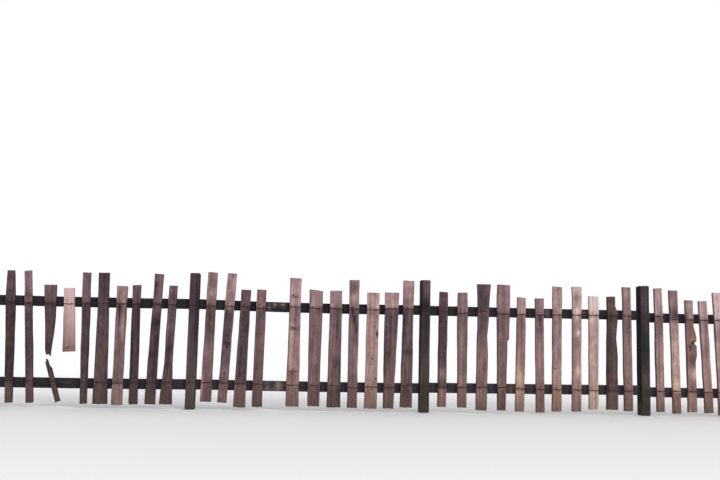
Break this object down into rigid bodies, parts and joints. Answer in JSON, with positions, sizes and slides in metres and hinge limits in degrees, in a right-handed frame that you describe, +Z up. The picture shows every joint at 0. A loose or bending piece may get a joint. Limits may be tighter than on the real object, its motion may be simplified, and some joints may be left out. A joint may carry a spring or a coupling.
{
  "type": "wooden paling fence",
  "caption": "Weathered wooden paling fence with square posts, tenoned rails, nailed palings of uneven height and stapled line wires, one place empty and one paling broken",
  "frame": {"origin": "middle of the flat foot of the centre post, at ground level", "axes": "+X along the fence to the right as seen from the front, -Y out of the front face, +Z up"},
  "size_m": [9.7, 0.1303, 1.3988],
  "materials": {
    "weathered_paling_timber": "sawn softwood, weathered grey brown",
    "new_sawn_timber": "new pale sawn softwood",
    "dark_post_timber": "dark weathered timber with green algae",
    "blackened_rail_timber": "blackened weathered timber",
    "rusty_wire": "rusty drawn iron wire"
  },
  "bodies": {
    "root": {"post_1": "dark_post_timber", "post_2": "dark_post_timber", "post_3": "dark_post_timber", "post_4": "dark_post_timber", "post_5": "dark_post_timber", "upper_rail_1": "blackened_rail_timber", "upper_rail_2": "blackened_rail_timber", "upper_rail_3": "blackened_rail_timber", "upper_rail_4": "blackened_rail_timber", "lower_rail_1": "blackened_rail_timber", "lower_rail_2": "blackened_rail_timber", "lower_rail_3": "blackened_rail_timber", "lower_rail_4": "blackened_rail_timber", "short_paling_pair_1": "weathered_paling_timber", "tall_paling_pair_1": "weathered_paling_timber", "broken_paling": "weathered_paling_timber", "new_paling": "new_sawn_timber", "tall_paling_pair_2": "weathered_paling_timber", "short_paling_pair_2": "weathered_paling_timber", "tall_paling_1": "weathered_paling_timber", "short_paling_1": "weathered_paling_timber", "tall_paling_pair_3": "weathered_paling_timber", "short_paling_pair_3": "weathered_paling_timber", "tall_paling_2": "weathered_paling_timber", "short_paling_pair_4": "weathered_paling_timber", "tall_paling_3": "weathered_paling_timber", "short_paling_pair_5": "weathered_paling_timber", "tall_paling_4": "weathered_paling_timber", "short_paling_pair_6": "weathered_paling_timber", "tall_paling_pair_4": "weathered_paling_timber", "short_paling_pair_7": "weathered_paling_timber", "tall_paling_pair_5": "weathered_paling_timber", "short_paling_pair_8": "weathered_paling_timber", "tall_paling_5": "weathered_paling_timber", "tall_paling_pair_6": "weathered_paling_timber", "short_paling_pair_9": "weathered_paling_timber", "tall_paling_pair_7": "weathered_paling_timber", "short_paling_pair_10": "weathered_paling_timber", "tall_paling_pair_8": "weathered_paling_timber", "short_paling_pair_11": "weathered_paling_timber", "tall_paling_6": "weathered_paling_timber", "upper_wire": "rusty_wire", "lower_wire": "rusty_wire"}
  },
  "joints": []
}
